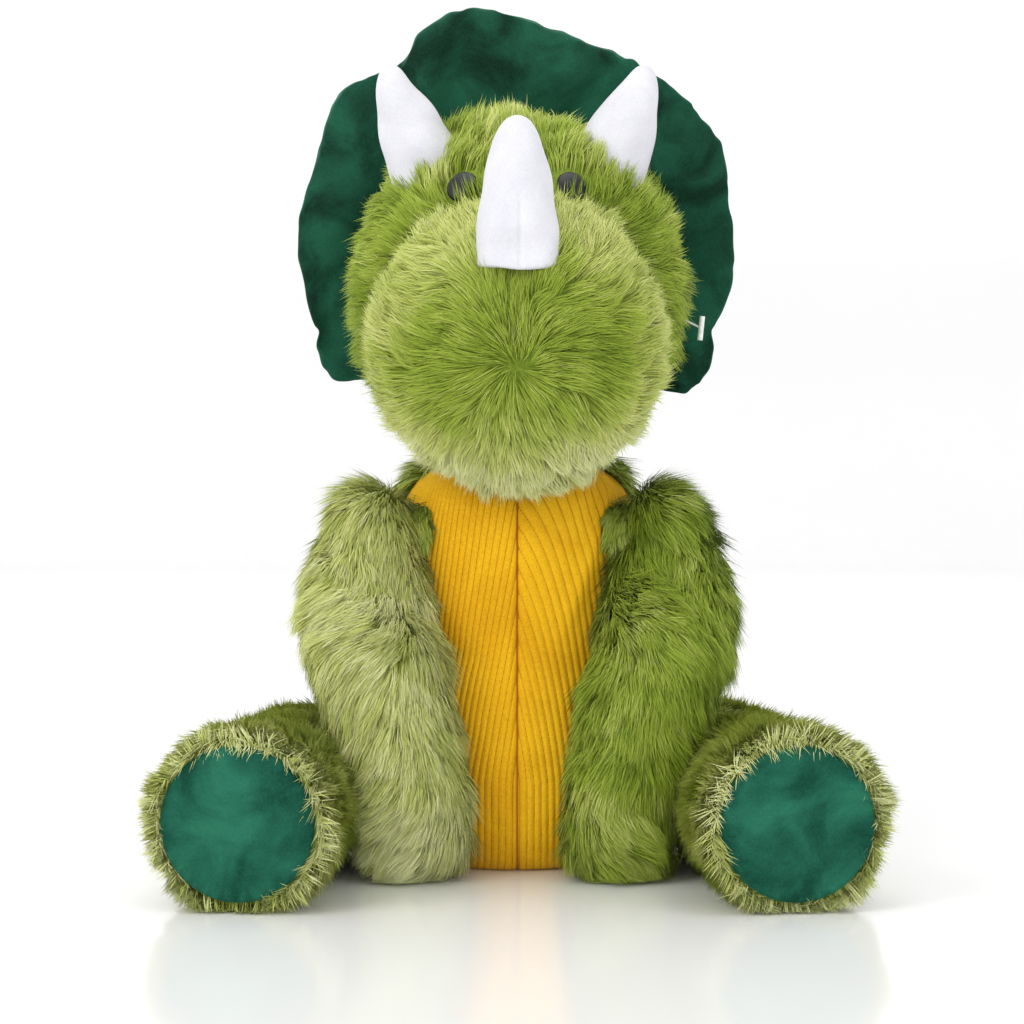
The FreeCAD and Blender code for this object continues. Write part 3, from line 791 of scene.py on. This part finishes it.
def makeFrill():
    parts = ["frill_front", "frill_wadding", "frill_back"]
    piece = skinOf("frillPad", parts, frillLook["voxel"], 1)
    head = widest("head_stuffing")
    lobeAngle = np.radians([turn for turn, _ in frillLook["lobes"]])
    lobeReach = [far * mm for _, far in frillLook["lobes"]]

    def turnOf(p):
        return np.arctan2(p[:, 0], p[:, 2] - head[2])

    def reach(p):
        return np.hypot(p[:, 0], p[:, 2] - head[2])

    rim = coords(piece.data)
    slots = np.round(np.degrees(turnOf(rim)) / 3).astype(int)
    spokes = np.array(sorted(set(slots)))
    spokeReach = np.array([reach(rim[slots == k]).max() for k in spokes])

    def shapeFrill(p, n):
        # the outer part of each spoke is drawn out or in to the lobe there
        q = p.copy()
        turn = turnOf(p)
        edge = np.interp(np.degrees(turn) / 3, spokes, spokeReach)
        wanted = np.interp(turn, lobeAngle, lobeReach)
        share = 1 + (wanted / edge - 1) * ease(reach(p) / edge, 0.35, 0.95)
        q[:, 0] = p[:, 0] * share
        q[:, 2] = head[2] + (p[:, 2] - head[2]) * share
        # the sheet waves and cups forward at its rim
        flat = np.stack([p[:, 0], 0 * p[:, 0], p[:, 2]], axis=1)
        wave = 1.4 * ripple(flat, 55 * mm, 71) + 0.6 * ripple(flat, 22 * mm, 72)
        out = ease(reach(p), 0.045, 0.085)
        q[:, 1] += (wave * out - 3.5 * out ** 2) * mm
        return q

    reshape(piece, shapeFrill)
    inflate(piece, frillLook, lambda p: reach(p) < 0.05)
    fine = piece.modifiers.new("fine", "SUBSURF")
    fine.levels = fine.render_levels = 2
    bake(piece)

    def creases(p, n):
        # pulled creases that run out from the head, deeper on one side
        turn = turnOf(p)
        lines = ripple(np.stack([turn * 0.06, 0 * turn, reach(p) * 0.25], axis=1), 0.016, 73)
        right = 0.5 + 0.9 * ease(p[:, 0], 0.03, 0.06)
        return p + n * (0.45 * lines * right * mm)[:, None]

    reshape(piece, creases)
    finishPiece(piece, "head", velour, parts)


print("frill")
makeFrill()


def makeArm(side):
    fur, fill = side + "_arm_fur", side + "_arm_stuffing"
    skin = skinOf(side + "ArmSkin", [fur, fill], 2.0, 4)
    seed = 81 if side == "left" else 91
    reshape(skin, lambda p, n: p + n * (0.9 * mm * ripple(p, 30 * mm, seed))[:, None])
    finishPiece(skin, side + "_arm", backing, [fur, fill])
    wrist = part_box(fur)[0].z + 0.045
    sign = -1 if side == "left" else 1

    def combArm(p, n):
        # down the arm, fanning outward most at the shoulder and again at the paw
        high = ease(p[:, 2], 0.07, 0.115)
        low = ease(-p[:, 2], -0.07, -0.03)
        outward = sign * (0.15 + 0.6 * high + 0.35 * low)
        way = np.stack([outward, -0.25 + 0.1 * high, -1.0 + 0 * high], axis=1)
        return way + n * [0.3, 0.1, 0.0]

    def armToneAndLight(p, n):
        # painted light and shade: the left arm is painted lighter and the right darker, as the lamp from the
        # left lights them; the pile is also paler below the wrist and darker at the shoulder
        rise = 0.12 * ease(wrist - p[:, 2], 0, 0.03) - 0.06 * ease(p[:, 2], 0.09, 0.11)
        return rise + (0.34 if side == "left" else -0.14)

    look = dict(pileLook, seed=seed + 1, length=11.5, swirl=0.45, gather=0.42)
    growPile(side + "ArmPile", skin, look, combArm, side + "_arm", armToneAndLight)


def makeLeg(side):
    fur, fill, sole = side + "_leg_fur", side + "_leg_stuffing", side + "_sole"
    skin = skinOf(side + "LegSkin", [fur, fill], 2.2, 4)
    seed = 101 if side == "left" else 111

    def plump(p, n):
        # uneven stuffing, but flat where it rests on the floor
        return p + n * (0.5 * mm * ripple(p, 30 * mm, seed) * ease(p[:, 2], 0.0, 0.01))[:, None]

    reshape(skin, plump)
    finishPiece(skin, side + "_leg", backing, [fur, fill])
    low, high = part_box(sole)
    centre = np.array((low + high) / 2)
    furLow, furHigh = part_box(fur)
    middle = np.array((furLow + furHigh) / 2)
    hip = np.array([middle[0] + (middle[0] - centre[0]), furHigh.y - 0.024, centre[2] * 0.9])
    out = axisOf(hip, centre)
    radius = (high.z - low.z) / 2

    def soleDistance(p):
        off = p - centre
        along = off @ out
        return np.linalg.norm(off - along[:, None] * out, axis=1), along

    def combLeg(p, n):
        along = soleDistance(p)[1]
        rim = ease(along, -0.03, -0.004)[:, None]
        away = unit(p - centre - ((p - centre) @ out)[:, None] * out)
        return (out + np.array([0, 0, -0.12])) + away * 0.75 * rim

    def toneLeg(p, n):
        along = soleDistance(p)[1]
        return 0.2 + 0.24 * ease(along, -0.022, -0.004)

    def keepLeg(p, n):
        far, along = soleDistance(p)
        return ((far > radius * 0.985) | (along < -0.02)).astype(float)

    look = dict(
        pileLook, seed=seed + 1, perMm2=4.6, length=8.5, leanRoot=0.8, leanTip=1.15, gather=0.2, tone=0.45,
        width=0.28, lockTurn=0.08, stray=0.1)
    growPile(side + "LegPile", skin, look, combLeg, side + "_leg", toneLeg, keepLeg)

    pad = skinOf(side + "SolePad", [sole], 1.0, 3, 1)

    def shapeSole(p, n):
        # crowned in the middle, puckered where it is sewn round the rim
        far = soleDistance(p)[0]
        face = ease(n @ out, 0.3, 0.9)
        crown = 2.0 * (1 - ease(far, 0, radius)) * face
        away = p - centre
        turn = np.arctan2(away[:, 2], away[:, 0])
        pucker = 0.35 * np.sin(turn * 34 + 2 * np.sin(turn * 3)) * ease(far, radius * 0.8, radius * 0.97) * face
        soft = 0.3 * ripple(p, 20 * mm, seed + 5) * face
        return p + out * ((crown + pucker + soft) * mm)[:, None]

    reshape(pad, shapeSole)
    finishPiece(pad, side + "_leg", soleVelour, [sole])


def makeTail():
    skin = skinOf("tailSkin", ["tail_fur", "tail_stuffing"], 2.0, 4)
    reshape(skin, lambda p, n: p + n * (0.4 * mm * ripple(p, 25 * mm, 121))[:, None])
    finishPiece(skin, "tail", backing, ["tail_fur", "tail_stuffing"])
    look = dict(pileLook, seed=122)
    growPile("tailPile", skin, look, lambda p, n: np.tile([0.0, 1.0, -0.3], (len(p), 1)), "tail")


for side in ("left", "right"):
    print(side, "arm and leg")
    makeArm(side)
    makeLeg(side)
print("tail")
makeTail()


def makeTag():
    material, tree, shader = newMaterial("nylon")
    where = addNode(tree, "ShaderNodeTexCoord").outputs["Object"]
    haze = addNode(tree, "ShaderNodeTexNoise", {"Vector": where, "Scale": 400.0, "Detail": 2.0})
    colour = addRamp(tree, haze.outputs["Fac"], [(0.3, tint(226, 230, 228)), (0.7, tint(250, 252, 250))])
    tree.links.new(colour, shader.inputs["Base Color"])
    shader.inputs["Roughness"].default_value = 0.3
    piece = addObject("tagFastener", nodes["tag_fastener"].data.copy())
    finishPiece(piece, "head", material, ["tag_fastener"])


print("tag")
makeTag()


stageLook = {
    "floor": (247, 247, 248),
    "world": 0.78,
    "key": 9.0,
    "fill": 3.0,
    "top": 6.0,
    "front": 2.5,
    "camera": (-0.0017, -1.3, 0.235),
    "lens": 137.1,
    "lookDown": 5.26,    # degrees
}


def makeStage():
    depth, bend, tall = 0.9, 0.4, 1.6
    rows = [(-2.2, 0.0), (depth, 0.0)]
    for k in range(1, 17):
        turn = k / 16 * math.pi / 2
        rows.append((depth + bend * math.sin(turn), bend * (1 - math.cos(turn))))
    rows.append((depth + bend, tall))
    points = np.array([[(x, y, z) for x in (-2.5, 2.5)] for y, z in rows])
    floor = addObject("studioFloor", gridMesh("studioFloor", points))
    material, tree, shader = newMaterial("studioWhite")
    where = addNode(tree, "ShaderNodeTexCoord").outputs["Object"]
    grain = addNode(tree, "ShaderNodeTexNoise", {"Vector": where, "Scale": 3.0, "Detail": 2.0})
    pale = tint(*stageLook["floor"])
    colour = addRamp(tree, grain.outputs["Fac"], [(0.0, pale), (1.0, tint(250, 250, 250))])
    tree.links.new(colour, shader.inputs["Base Color"])
    shader.inputs["Roughness"].default_value = 0.13
    shader.inputs["Specular IOR Level"].default_value = 0.6
    floor.data.materials.append(material)


def addLight(name, place, target, size, power, colour=(1, 1, 1)):
    lamp = bpy.data.lights.new(name, "AREA")
    lamp.shape, lamp.size, lamp.size_y = "RECTANGLE", size[0], size[1]
    lamp.energy, lamp.color = power, colour
    piece = bpy.data.objects.new(name, lamp)
    piece.location = place
    piece.rotation_euler = (Vector(target) - Vector(place)).to_track_quat("-Z", "Y").to_euler()
    bpy.context.collection.objects.link(piece)


def makeLights():
    world = bpy.data.worlds.new("studio")
    bpy.context.scene.world = world
    world.use_nodes = True
    world.node_tree.nodes["Background"].inputs["Color"].default_value = (1, 1, 1, 1)
    world.node_tree.nodes["Background"].inputs["Strength"].default_value = stageLook["world"]
    middle = (0, 0, 0.14)
    addLight("keyLight", (-1.0, -0.9, 0.9), middle, (0.8, 0.8), stageLook["key"], (1.0, 0.99, 0.97))
    addLight("fillLight", (1.1, -0.8, 0.5), middle, (0.8, 0.8), stageLook["fill"])
    addLight("topLight", (0, 0.1, 1.5), middle, (1.2, 1.2), stageLook["top"])
    addLight("frontLight", (0, -1.6, 0.35), middle, (0.6, 0.4), stageLook["front"])


def makeCamera():
    data = bpy.data.cameras.new("studioCamera")
    data.lens, data.sensor_width = stageLook["lens"], 36.0
    data.clip_start, data.clip_end = 0.05, 20.0
    camera = bpy.data.objects.new("studioCamera", data)
    camera.location = stageLook["camera"]
    camera.rotation_euler = (math.radians(90 - stageLook["lookDown"]), 0, 0)
    bpy.context.collection.objects.link(camera)
    bpy.context.scene.camera = camera


print("stage")
makeStage()
makeLights()
makeCamera()
bpy.context.scene.view_settings.view_transform = "Standard"
